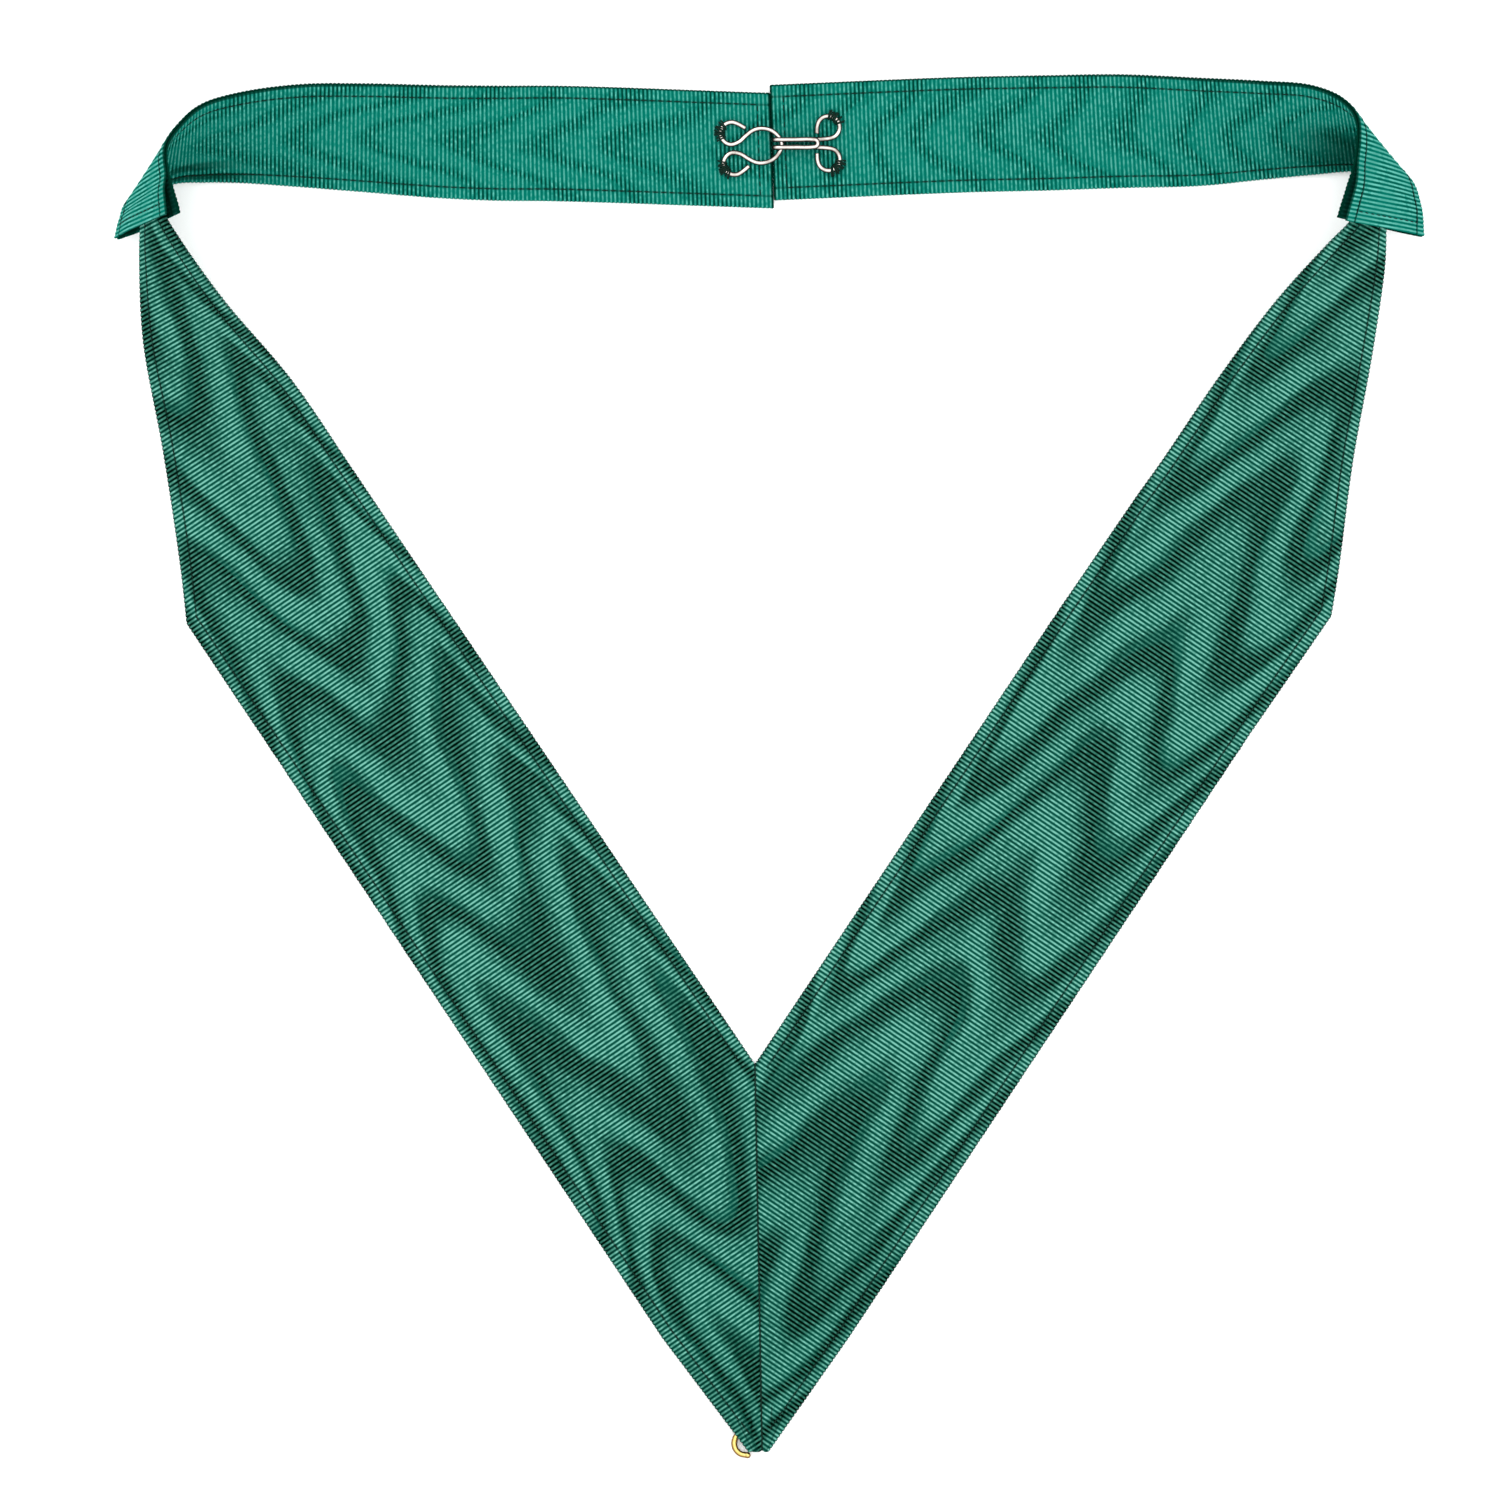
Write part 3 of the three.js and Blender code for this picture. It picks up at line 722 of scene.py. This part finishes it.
def ribbonLook(name, kind, side, part, seed):
    c, w = ribbonLooks[kind], watered
    way = outwards[side]
    look = Look(name, {"Specular IOR Level": 0.0})
    uv = look.node("ShaderNodeUVMap", {"uv_map": "ribbon"}, None, "UV")
    parts = look.node("ShaderNodeSeparateXYZ", None, {0: uv}, "X")
    u, v = parts * 1000, parts.out("Y") * 1000
    edge = look.node("ShaderNodeAttribute", {"attribute_name": "edgeDistance"}, None, "Fac") * 1000
    inside = look.node("ShaderNodeAttribute", {"attribute_name": "inside"}, None, "Fac")

    # the watered figure: contour lines that zigzag across the ribbon
    wander = look.noise(u, v, w["wanderGrain"], seed)
    across = v / c["width"] + w["drift"] * look.noise(u, 0.0, (w["driftGrain"], 1), seed + 3)
    contour = look.node("ShaderNodeValToRGB", {"stops": c["contour"]}, {0: across}, "Color")
    deeper = w["depth"] * look.noise(u, 0.0, (w["depthGrain"], 1), seed + 9)
    reach = c["reach"][side] * (1 + deeper)
    phase = (u - way * reach * contour + c["wander"] * wander
             + w["rag"] * look.noise(u, v, w["ragGrain"], seed + 5)) / c["period"][side]
    turn = 2 * math.pi * phase
    line = turn.sine() + w["between"] * (2 * turn + 0.9 + 1.5 * wander).sine()
    blotches = w["blotch"] * look.noise(u, v, w["blotchGrain"], seed + 2)
    broad = (line + blotches).rise(-1.05, 1.35)
    streak = (turn + w["streakAt"]).sine().rise(w["streakFrom"], 1)
    streak = streak * look.noise(u, v, w["streakGrain"], seed + 6).rise(-0.4, 0.9)

    # the ribs: painted highlight on their crests, where the threads catch the light, and painted
    # shade in the grooves, over the shading of the modelled ribs
    beside = (2 * (u / ribs["pitch"]).fraction() - 1).size()
    crest = 1 - beside.rise(0.18, 0.86)
    dashes = look.noise(u, v, w["dashGrain"], seed + 8, 2.0)
    low, high = between(c["groove"], broad), between(c["crest"], broad)
    tone = low + (high - low + c["dashes"] * dashes) * crest + 0.03 * dashes
    # painted light: the face layer is made lighter
    if part == "face":
        tone = tone + w["faceLight"]
    if kind == "strap":
        tone = tone - w["pointTone"] * (1 - u.rise(*w["pointReach"]))
    shade = look.ramp(tone, c["tones"])
    flat = 0.55 * broad + 0.45 * streak
    shade = look.mix(
        between(c["pressed"], flat) * (1 - 0.35 * crest), shade, colour(*c["pressedColour"]))

    # painted shade: in the sunk stitch lines, along the rolled rims, in the hollows by the folds, at
    # the cut end in the middle and on the inside of the pocket
    shadeColour = c["tones"][0][1]
    # painted shade in the groove where the stitches sink, stronger on the face layer
    seam = 1 - (edge - hem["stitchIn"]).size().rise(0.15, 0.7)
    # painted shade along the rolled edges, on the neckband only along its high edge
    rimShade = 1 - edge.rise(0.2, 0.8)
    if kind == "neckband":
        rimShade = rimShade * (v / c["width"]).rise(0.4, 0.6)
    paintedShade = (0.85 if part == "face" else 0.5) * seam + c["rimShade"] * rimShade
    if part == "lining":
        paintedShade = paintedShade + 0.9 * (1 - u.rise(0.1, 0.9))       # painted shade at the cut end in the middle
        # painted shade in the hollows by the folds
        for start, end, middle, half, strength in shadedPlaces[side]:
            beyond = ((v - middle) / half).size()
            paintedShade = paintedShade + strength * u.rise(start, end) * (1 - beyond.rise(0.3, 1))
    # painted shade on the inner faces of the pocket
    paintedShade = paintedShade + 0.85 * inside
    # painted shade: the cloth is mixed towards its darkest tone
    shade = look.mix(paintedShade.rise(-0.1, 1.1), shade, colour(*shadeColour))
    look.feed("Base Color", shade)
    look.feed("Roughness", 0.5 - 0.12 * broad)

    # fine warp threads between the ribs
    strayed = 2 * look.noise(u, v, (3, 3), seed + 11)
    threads = (2 * math.pi * v / w["threadPitch"] + strayed).sine()
    bump = look.node(
        "ShaderNodeBump", None,
        {"Strength": 0.35, "Distance": 0.00006, "Height": 0.6 * threads + dashes}, "Normal")
    look.feed("Normal", bump)
    return look.material


def threadLook():
    look = Look("sewing_thread", {"Roughness": 0.7, "Specular IOR Level": 0.1})
    place = look.node("ShaderNodeTexCoord", None, None, "Object")
    fibres = look.node(
        "ShaderNodeTexNoise", None,
        {"Vector": place, "Scale": 2600.0, "Detail": 2.0}, "Fac")
    look.feed("Base Color", look.mix(fibres, colour(1, 22, 14), colour(14, 60, 46)))
    look.feed("Normal", look.node(
        "ShaderNodeBump", None,
        {"Strength": 0.5, "Distance": 0.00008, "Height": fibres}, "Normal"))
    return look.material


def wireLook(name, bright, tarnished, paintedShade, roughness):
    look = Look(name, {"Metallic": 1.0})
    place = look.node("ShaderNodeTexCoord", None, None, "Object")
    stains = look.node(
        "ShaderNodeTexNoise", None,
        {"Vector": place, "Scale": 260.0, "Detail": 3.0}, "Fac").rise(0.42, 0.72)
    scuffs = look.node(
        "ShaderNodeTexNoise", None,
        {"Vector": place, "Scale": 1500.0, "Detail": 3.0}, "Fac")
    shade = look.mix(stains, bright, tarnished)
    # painted shade and dark reflection: the wire's colour goes to its darkest towards its outline,
    # where it turns away from the camera
    aside = look.node("ShaderNodeLayerWeight", None, {"Blend": 0.5}, "Facing")
    look.feed("Base Color", look.mix(aside.rise(0.0, 0.3), shade, paintedShade))
    look.feed("Roughness", roughness + 0.2 * stains + 0.1 * (scuffs - 0.5))
    look.feed("Normal", look.node(
        "ShaderNodeBump", None,
        {"Strength": 0.15, "Distance": 0.00005, "Height": scuffs}, "Normal"))
    return look.material


thread = threadLook()
# the last colour of each wire is its painted shade and dark reflection at the outline
nickel = wireLook(
    "nickel_wire", (0.62, 0.58, 0.54, 1), (0.34, 0.3, 0.27, 1), (0.035, 0.024, 0.02, 1), 0.24)
gilt = wireLook(
    "gilt_wire", (0.7, 0.57, 0.2, 1), (0.46, 0.3, 0.06, 1), (0.16, 0.07, 0.008, 1), 0.24)
print("looks mixed")


# Weaving

bands = {side: neckbandRibbon(side) for side in outwards}
straps = {side: strapRibbon(side, bands[side]) for side in outwards}
cloth = {}
for side in outwards:
    cloth[side, "strap"] = strapCloth(side, straps[side])
    cloth[side, "lining"] = neckbandCloth(side, bands[side], True)
    cloth[side, "face"] = neckbandCloth(side, bands[side], False)
    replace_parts(cloth[side, "strap"], f"{side}_strap")
    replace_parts(cloth[side, "face"], f"{side}_neckband")
    seed = 4.3 if side == "left" else 17.1
    for part, kind in (("strap", "strap"), ("lining", "neckband"), ("face", "neckband")):
        look = ribbonLook(f"{side}_{part}_ribbon", kind, side, part, seed)
        cloth[side, part].data.materials.append(look)
        seed += 2.7
print("ribbons woven")


# Stitches

sewing = {
    "pitch": 2.82,            # two ribs
    "length": 2.3,
    "radius": 0.2,
    "sunk": 0.12,
    "uneven": (0.9, 1.06),    # of a stitch's length
    "askew": 0.06,
}


def stitchLine(ribbon, path, offset):
    # small beans of thread at even steps along a flat path, laid on the folded cloth
    bm = bmesh.new()
    places = [(ribbon.lay(u, v), u, v) for u, v in path]
    walked, due = 0, sewing["pitch"] / 2
    for (a, uA, vA), (b, uB, vB) in zip(places, places[1:]):
        step = (b[0] - a[0]).length
        while step > 0 and walked + step > due:
            share = (due - walked) / step
            u, v = mix(uA, uB, share), mix(vA, vB, share)
            normal = ribbon.facing(u, v, ribbon.way)
            tangent = (b[0] - a[0]).normalized()
            side = normal.cross(tangent).normalized()
            row = mix(a[1], b[1], share)
            fromLow = v - Ribbon.edgeAt(ribbon.lowEdge, u)
            place = inFrame(a[0].lerp(b[0], share) + normal * offset(row, fromLow))
            turn = Matrix((tangent, side, normal)).transposed().to_4x4()
            long = sewing["length"] / 2000 * random.uniform(*sewing["uneven"])
            thick = sewing["radius"] / 1000
            bmesh.ops.create_uvsphere(
                bm, u_segments=6, v_segments=4, radius=1,
                matrix=Matrix.Translation(place) @ turn
                @ Matrix.Rotation(random.uniform(-sewing["askew"], sewing["askew"]), 4, "Z")
                @ Matrix.Diagonal((long, thick, thick, 1)))
            due += sewing["pitch"]
        walked += step
    line = bpy.data.meshes.new("stitch_line")
    bm.to_mesh(line)
    bm.free()
    return line


def stitches(name, ribbon, paths, offsets):
    bm = bmesh.new()
    for offset in offsets:
        for path in paths:
            line = stitchLine(ribbon, path, offset)
            bm.from_mesh(line)
            bpy.data.meshes.remove(line)
    for face in bm.faces:
        face.smooth = True
    piece = finished(name, bm, thread)
    return piece


def evenly(start, end, count):
    return [mix(start, end, i / count) for i in range(count + 1)]


def strapStitches(side, ribbon):
    inset = hem["stitchIn"]
    low = ribbon.lowEdge
    end = ribbon.rows[-1][0] - 4
    outerPath = [(u, Ribbon.edgeAt(low, u) + inset) for u in evenly(low[0].x + 7, end, 500)]
    innerPath = [(u, Ribbon.edgeAt(ribbon.highEdge, u) - inset) for u in evenly(4, end, 400)]
    half = strap["thickness"] / 2
    sunk = sewing["sunk"]
    return stitches(
        f"{side}_strap_stitches", ribbon, [outerPath, innerPath],
        [lambda t, v: half + strap["topAdded"] - sunk,
         lambda t, v: -half + sewing["radius"] + 0.05])


def neckbandStitches(side, ribbon):
    inset = hem["stitchIn"]
    width = neckband["width"]
    lowEnd, highEnd = ribbon.lowEdge[-1].x, ribbon.highEdge[-1].x
    lowPath = [(u, Ribbon.edgeAt(ribbon.lowEdge, u) + inset)
               for u in evenly(inset, lowEnd - inset, 300)]
    highPath = [(u, Ribbon.edgeAt(ribbon.highEdge, u) - inset)
                for u in evenly(inset, highEnd - inset, 300)]
    endPath = [(mix(lowEnd, highEnd, k) - inset,
                mix(ribbon.lowEdge[-1].y, ribbon.highEdge[-1].y, k))
               for k in evenly(inset / width, 1 - inset / width, 30)]
    startPath = [(inset, v) for v in evenly(inset, width - inset, 30)]
    raised = neckband["layer"] - sewing["sunk"]

    def upper(t, v):
        return raised + 0.1 + layerGap(side, ribbon, t, v, True)

    def lower(t, v):
        return -(raised + layerGap(side, ribbon, t, v, False))

    return stitches(
        f"{side}_neckband_stitches", ribbon, [lowPath, highPath, endPath, startPath],
        [upper, lower])


for side in outwards:
    cloth[side, "strapStitches"] = strapStitches(side, straps[side])
    cloth[side, "neckbandStitches"] = neckbandStitches(side, bands[side])
print("hems sewn")


# Wires

def tube(name, lines, diameter, material, sides=3, closed=False):
    # round wires or threads along the lines, as one mesh
    curve = bpy.data.curves.new(name, "CURVE")
    curve.dimensions = "3D"
    curve.bevel_depth = diameter / 2000
    curve.bevel_resolution = sides
    curve.use_fill_caps = not closed
    for line in lines:
        spline = curve.splines.new("POLY")
        spline.points.add(len(line) - 1)
        for point, place in zip(spline.points, line):
            point.co = (*inFrame(place), 1)
        spline.use_cyclic_u = closed
    holder = bpy.data.objects.new(name, curve)
    bpy.context.scene.collection.objects.link(holder)
    mesh = bpy.data.meshes.new_from_object(
        holder.evaluated_get(bpy.context.evaluated_depsgraph_get()))
    bpy.data.objects.remove(holder)
    bm = bmesh.new()
    bm.from_mesh(mesh)
    bmesh.ops.remove_doubles(bm, verts=bm.verts[:], dist=1e-6)
    bmesh.ops.recalc_face_normals(bm, faces=bm.faces[:])
    for face in bm.faces:
        face.smooth = len(face.verts) == 4
    return finished(name, bm, material)


def ring(x, y, radius, start, end, z):
    steps = math.ceil(abs(end - start) / 30)
    angles = [math.radians(mix(start, end, i / steps)) for i in range(steps + 1)]
    return [Vector((x + radius * math.cos(a), y + radius * math.sin(a), z)) for a in angles]


def fine(points, perPoint=8):
    count = (len(points) - 1) * perPoint
    return [alongCurve(points, i / perPoint) for i in range(count)] + [points[-1]]


def bothHalves(half, shared=0):
    mirrored = [Vector((p.x, -p.y, p.z)) for p in reversed(half[:len(half) - shared])]
    return half + mirrored


def placed(points, degrees, x, y):
    turn = Matrix.Rotation(math.radians(degrees), 3, "Z")
    return [turn @ p + Vector((x, y, 0)) for p in points]


closure = {
    "at": (1.9, 209.2),
    "wire": 1.6,
    "onBand": 3.1,
    "rise": 1.9,
    "ringRadius": 3.75,
    "eyeReach": 2.9, "eyeLength": 16.4, "eyeWidth": 11.6, "eyeRings": 10.2, "eyeTurn": 5.5,
    "eyeRingArc": (52, 262), "eyeRingEnd": (4.75, 1.25),
    "hookLength": 18.6, "hookWires": 2.6, "billLength": 15.0, "hookRings": 10.8, "hookTurn": 0.5,
    "hookRingArc": (175, -65), "hookRingEnd": (-3.9, -2.1),
}
# along is a share of the eye's length, aside of half its width, rise of the way up
eyeLoop = [
    (0.14, 0.36, 0), (0.28, 0.66, 0), (0.44, 0.93, 0), (0.6, 1.0, 0.2),
    (0.8, 0.84, 0.75), (0.93, 0.5, 1), (1.0, 0, 1),
]


def neckEye():
    c = closure
    x, y, z = -c["eyeLength"], c["eyeRings"] / 2, c["onBand"]
    endX, endY = c["eyeRingEnd"]
    half = [Vector((x + endX, y + endY, z)), *ring(x, y, c["ringRadius"], *c["eyeRingArc"], z)]
    for along, aside, rise in eyeLoop:
        half.append(Vector((
            (along - 1) * c["eyeLength"], aside * c["eyeWidth"] / 2,
            c["onBand"] + rise * c["rise"])))
    line = placed(bothHalves(half, 1), c["eyeTurn"], c["at"][0] + c["eyeReach"], c["at"][1])
    return tube("wire_eye", [fine(line)], c["wire"], nickel, 4)


def neckHook():
    c = closure
    y, z, rise, bill = c["hookWires"] / 2, c["onBand"], c["rise"], c["billLength"]
    x, ringY = c["hookLength"], c["hookRings"] / 2
    endX, endY = c["hookRingEnd"]
    half = [Vector((x + endX, ringY + endY, z))]
    half += ring(x, ringY, c["ringRadius"], *c["hookRingArc"], z)
    half += [Vector((c["hookLength"] * share, y, z)) for share in (0.8, 0.5, 0.25)]
    for degrees in (270, 225, 180, 135, 90):
        a = math.radians(degrees)
        half.append(Vector((rise * (1 + math.cos(a)), y, z + rise * (1 + math.sin(a)))))
    top = z + 2 * rise
    half += [Vector((bill * share, y, top)) for share in (0.5, 0.86)]
    half += [Vector((bill - 0.3 * y, 0.72 * y, top)), Vector((bill, 0, top))]
    line = placed(bothHalves(half, 1), c["hookTurn"], *c["at"])
    return tube("wire_hook", [fine(line)], c["wire"], nickel, 4)


jewel = {
    "at": (-7.2, -227.0), "wire": 2.0, "radius": 4.0, "ringRadius": 2.6,
    "ringOffset": (8.2, 6.4), "ringArc": (-60, 215), "hookArc": (62, 272),
    "knob": 2.2, "knobAside": 0.5,
}


def jewelHook():
    z = jewel["wire"] / 2
    points = ring(*jewel["ringOffset"], jewel["ringRadius"], *jewel["ringArc"], z)
    points += ring(0, 0, jewel["radius"], *jewel["hookArc"], z)
    piece = tube("gilt_hook", [fine(placed(points, 0, *jewel["at"]))], jewel["wire"], gilt, 4)
    bm = bmesh.new()
    bm.from_mesh(piece.data)
    x, y = jewel["at"][0] + jewel["knobAside"], jewel["at"][1] - jewel["radius"]
    bmesh.ops.create_uvsphere(
        bm, u_segments=24, v_segments=14, radius=jewel["knob"] / 2000,
        matrix=Matrix.Translation(inFrame((x, y, jewel["knob"] / 2))))
    for face in bm.faces:
        face.smooth = True
    bm.to_mesh(piece.data)
    bm.free()
    return piece


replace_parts(neckEye(), "neck_eye")
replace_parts(neckHook(), "neck_hook")
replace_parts(jewelHook(), "jewel_hook")
print("wires bent")


# Threads that hold the wires

binding = {
    "turns": 10, "thread": 0.56, "reach": 1.25, "height": 1.12, "spread": 70, "steps": 16,
    "eyeAngles": (165, 205), "hookAngles": (52, -42),
}


def bindings(name, degrees, at, centres):
    # loops of thread round the wire of each ring, down into the cloth
    loops = []
    for cx, cy, middle in centres:
        for k in range(binding["turns"]):
            a = math.radians(middle + binding["spread"] * (k / (binding["turns"] - 1) - 0.5)
                             + random.uniform(-4, 4))
            radial = Vector((math.cos(a), math.sin(a), 0))
            aslant = Vector((-radial.y, radial.x, 0)) * random.uniform(-0.35, 0.35)
            centre = Vector((cx, cy, closure["onBand"] - 0.25)) + radial * (
                closure["ringRadius"] + random.uniform(0.2, 0.5))
            wide = binding["reach"] + random.uniform(0, 0.45)
            loop = []
            for step in range(binding["steps"]):
                b = 2 * math.pi * step / binding["steps"]
                loop.append(centre + (radial * wide + aslant) * math.cos(b)
                            + Vector((0, 0, binding["height"] * math.sin(b))))
            loops.append(loop)
    loops = [placed(loop, degrees, *at) for loop in loops]
    return tube(name, loops, binding["thread"], thread, 1, True)


eyeAt = (closure["at"][0] + closure["eyeReach"], closure["at"][1])
eyeX, eyeY = -closure["eyeLength"], closure["eyeRings"] / 2
hookX, hookY = closure["hookLength"], closure["hookRings"] / 2
held = [
    bindings("eye_binding", closure["eyeTurn"], eyeAt,
             [(eyeX, eyeY, binding["eyeAngles"][0]), (eyeX, -eyeY, binding["eyeAngles"][1])]),
    bindings("hook_binding", closure["hookTurn"], closure["at"],
             [(hookX, hookY, binding["hookAngles"][0]),
              (hookX, -hookY, binding["hookAngles"][1])]),
]

# the thread of the mitre seam, between the two straps
seam = {
    "from": (-4.2, -99.4, 1.55), "to": (-1.8, -229.4, 3.7), "thread": 0.5, "waves": 60, "sway": 0.08,
}
seamLine = []
for i in range(seam["waves"] + 1):
    p = Vector(seam["from"]).lerp(Vector(seam["to"]), i / seam["waves"])
    seamLine.append(p + Vector((seam["sway"] * (-1) ** i, 0, 0)))
seamThread = tube("mitre_seam_thread", [fine(seamLine, 3)], seam["thread"], thread, 1)
print("closure bound")


# Floor, light and camera

studio = {
    "middle": (-0.00636, 0.00556),     # of the picture
    "frameWidth": 0.5036,
    "height": 12.0,
    "floorSize": 3.0,
    "sky": 1.55,
}
bm = bmesh.new()
bmesh.ops.create_grid(bm, x_segments=1, y_segments=1, size=studio["floorSize"])
bmesh.ops.translate(bm, vec=(0, 0, -0.0003), verts=bm.verts[:])
floorMesh = bpy.data.meshes.new("floor")
bm.to_mesh(floorMesh)
bm.free()
floor = bpy.data.objects.new("floor", floorMesh)
bpy.context.scene.collection.objects.link(floor)
floorMesh.materials.append(
    Look("pale_floor", {"Base Color": (0.97, 0.97, 0.97, 1), "Roughness": 0.9}).material)


def softLight(name, place, size, power):
    data = bpy.data.lights.new(name, "AREA")
    data.size = size
    data.energy = power
    lamp = bpy.data.objects.new(name, data)
    lamp.location = place
    lamp.rotation_euler = (-Vector(place)).to_track_quat("-Z", "Y").to_euler()
    bpy.context.scene.collection.objects.link(lamp)


softLight("key", (-0.9, 1.1, 1.5), 0.9, 8)
softLight("overhead", (0.0, 0.1, 2.2), 2.0, 12)
softLight("fill", (1.2, -0.5, 1.4), 1.1, 5)

cameraData = bpy.data.cameras.new("camera")
cameraData.sensor_width = 36
cameraData.lens = 36 * studio["height"] / studio["frameWidth"]
camera = bpy.data.objects.new("camera", cameraData)
camera.location = (*studio["middle"], studio["height"])
bpy.context.scene.collection.objects.link(camera)
bpy.context.scene.camera = camera

world = bpy.data.worlds.new("studio")
bpy.context.scene.world = world
world.use_nodes = True
world.node_tree.nodes["Background"].inputs["Color"].default_value = (1, 1, 1, 1)
world.node_tree.nodes["Background"].inputs["Strength"].default_value = studio["sky"]
bpy.context.scene.view_settings.view_transform = "Standard"
